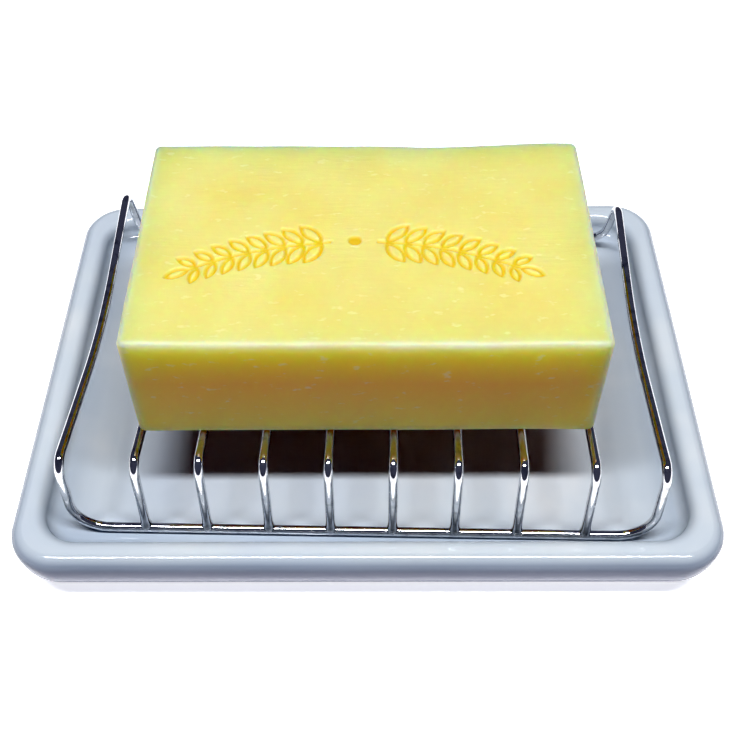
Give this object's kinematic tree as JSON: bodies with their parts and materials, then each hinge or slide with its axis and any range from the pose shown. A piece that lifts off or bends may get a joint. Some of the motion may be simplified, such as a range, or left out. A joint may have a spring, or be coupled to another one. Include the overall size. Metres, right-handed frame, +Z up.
{
  "type": "soap bar on a wire rack in a dish",
  "caption": "Rectangular shaving soap bar with pressed leaf sprigs, resting on a lift-out chromed wire rack in a shallow white glazed dish.",
  "frame": {"origin": "centre of the dish's foot plane, where it stands on a table", "axes": "+X along the dish's length to the right, +Y to its back, +Z up, the way the rack and the bar lift off"},
  "size_m": [0.1436, 0.1048, 0.0546],
  "materials": {
    "soap": "satin",
    "glaze": "gloss",
    "chromed_wire": "polished"
  },
  "bodies": {
    "dish_body": {"dish": "glaze"},
    "rack_body": {"rack_frame": "chromed_wire", "cross_wire_1": "chromed_wire", "cross_wire_2": "chromed_wire", "cross_wire_3": "chromed_wire", "cross_wire_4": "chromed_wire", "cross_wire_5": "chromed_wire", "cross_wire_6": "chromed_wire", "cross_wire_7": "chromed_wire", "cross_wire_8": "chromed_wire"},
    "bar_body": {"soap_bar": "soap"}
  },
  "joints": [
    {"name": "rack_lift", "type": "slide", "parent": "dish_body", "child": "rack_body", "axis": [0, 0, 1], "range_m": [0, 0.05]},
    {"name": "bar_lift", "type": "slide", "parent": "rack_body", "child": "bar_body", "axis": [0, 0, 1], "range_m": [0, 0.05]}
  ]
}
